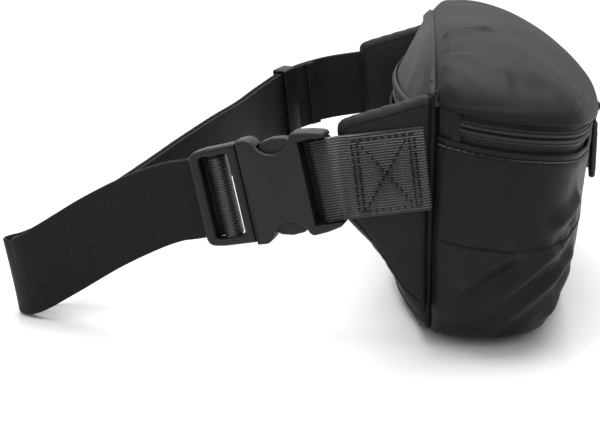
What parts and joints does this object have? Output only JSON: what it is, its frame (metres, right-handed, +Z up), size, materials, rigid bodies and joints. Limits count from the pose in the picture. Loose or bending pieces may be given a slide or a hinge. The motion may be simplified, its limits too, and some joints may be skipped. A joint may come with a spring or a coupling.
{
  "type": "waist pack",
  "caption": "Padded waist pack with a zipped main compartment, a zipped rear pocket and a webbing belt with a side-release buckle, standing on its base.",
  "frame": {"origin": "middle of the front compartment's floor, on the surface the bag stands on", "axes": "+X along the bag towards the end with no buckle, -Y out of the front panel, +Y towards the wearer, +Z up"},
  "size_m": [0.268, 0.2941, 0.1407],
  "materials": {
    "body_nylon": "black coated nylon, matte",
    "lid_nylon": "black coated nylon, lighter where it catches the light",
    "lining": "grey lining",
    "foam": "padding, sealed inside",
    "webbing": "ribbed black webbing",
    "binding": "black binding tape",
    "zip_tape": "black zip tape",
    "zip_coil": "black nylon coil",
    "painted_metal": "black painted zinc",
    "pull_plastic": "black soft moulding",
    "buckle_plastic": "black moulded acetal, satin"
  },
  "bodies": {
    "root": {"lower_tub": "body_nylon", "upper_wall": "body_nylon", "base_stiffener": "lining", "divider_panel": "lining", "rear_lower_panel": "body_nylon", "rear_foam_pad": "foam", "front_zip_tape_lower": "zip_tape", "front_zip_coil_lower": "zip_coil", "rear_zip_tape_lower": "zip_tape", "rear_zip_coil_lower": "zip_coil", "zip_garage_near": "body_nylon", "zip_garage_far": "body_nylon", "rear_garage_near": "body_nylon", "rear_garage_far": "body_nylon", "wing_near_outer": "body_nylon", "wing_near_foam": "foam", "wing_near_inner": "body_nylon", "wing_far_outer": "body_nylon", "wing_far_foam": "foam", "wing_far_inner": "body_nylon", "seam_piping_near": "binding", "seam_piping_far": "binding", "crest_binding": "binding", "anchor_web_near": "webbing", "waist_strap": "webbing", "strap_tail": "webbing", "buckle_female": "buckle_plastic"},
    "lid": {"lid_dome": "lid_nylon", "front_zip_tape_upper": "zip_tape", "front_zip_coil_upper": "zip_coil"},
    "rear_lid": {"rear_lid_panel": "lid_nylon", "rear_zip_tape_upper": "zip_tape", "rear_zip_coil_upper": "zip_coil"},
    "near_slider": {"front_near_slider": "painted_metal"},
    "far_slider": {"front_far_slider": "painted_metal"},
    "rear_slider": {"rear_slider": "painted_metal"},
    "near_pull": {"front_near_link": "painted_metal", "front_near_pull": "pull_plastic"},
    "far_pull": {"front_far_link": "painted_metal", "front_far_pull": "pull_plastic"},
    "rear_pull": {"rear_link": "painted_metal", "rear_pull": "pull_plastic"},
    "male_buckle": {"buckle_male": "buckle_plastic", "strap_wrap": "webbing"},
    "upper_arm": {"release_arm_upper": "buckle_plastic"},
    "lower_arm": {"release_arm_lower": "buckle_plastic"},
    "keeper": {"strap_keeper": "buckle_plastic"}
  },
  "joints": [
    {"name": "lid_open", "type": "hinge", "parent": "root", "child": "lid", "pos_m": [0, 0.0294, 0.1344], "axis": [-1, 0, 0], "range_deg": [0, 75]},
    {"name": "rear_lid_open", "type": "hinge", "parent": "root", "child": "rear_lid", "pos_m": [0, 0.0336, 0.134], "axis": [1, 0, 0], "range_deg": [0, 50]},
    {"name": "near_slider_run", "type": "hinge", "parent": "lid", "child": "near_slider", "pos_m": [0, 0.30815, 0.0925], "axis": [0, 0, 1], "range_deg": [-9.5, 0]},
    {"name": "far_slider_run", "type": "hinge", "parent": "lid", "child": "far_slider", "pos_m": [0, 0.30815, 0.0925], "axis": [0, 0, 1], "range_deg": [0, 6.5]},
    {"name": "near_pull_swing", "type": "hinge", "parent": "near_slider", "child": "near_pull", "pos_m": [-0.00202, -0.05379, 0.0926], "axis": [-1, 0.0056, 0], "range_deg": [0, 150]},
    {"name": "far_pull_swing", "type": "hinge", "parent": "far_slider", "child": "far_pull", "pos_m": [0.02021, -0.05323, 0.0926], "axis": [-0.9984, -0.0558, 0], "range_deg": [0, 150]},
    {"name": "rear_slider_run", "type": "hinge", "parent": "rear_lid", "child": "rear_slider", "pos_m": [0, -0.31884, 0.10015], "axis": [0, 0, 1], "range_deg": [0, 26.2]},
    {"name": "rear_pull_swing", "type": "hinge", "parent": "rear_slider", "child": "rear_pull", "pos_m": [0.08486, 0.04437, 0.10025], "axis": [0.9738, -0.2275, 0], "range_deg": [0, 150]},
    {"name": "buckle_part", "type": "slide", "parent": "root", "child": "male_buckle", "axis": [0.1896, 0.9558, -0.2245], "range_m": [0, 0.026], "deforming": ["waist_strap", "strap_tail", "release_arm_upper", "release_arm_lower"]},
    {"name": "upper_arm_press", "type": "hinge", "parent": "male_buckle", "child": "upper_arm", "pos_m": [-0.11195, 0.11505, 0.08093], "axis": [0.9809, -0.1946, 0], "range_deg": [0, 7], "stiffness_Nm_per_rad": 0.05},
    {"name": "lower_arm_press", "type": "hinge", "parent": "male_buckle", "child": "lower_arm", "pos_m": [-0.11283, 0.11064, 0.06144], "axis": [-0.9809, 0.1946, 0], "range_deg": [0, 7], "stiffness_Nm_per_rad": 0.05},
    {"name": "keeper_slide", "type": "slide", "parent": "root", "child": "keeper", "axis": [-0.8225, 0.547, -0.1556], "range_m": [-0.006, 0.006], "deforming": ["waist_strap", "strap_tail"]}
  ]
}
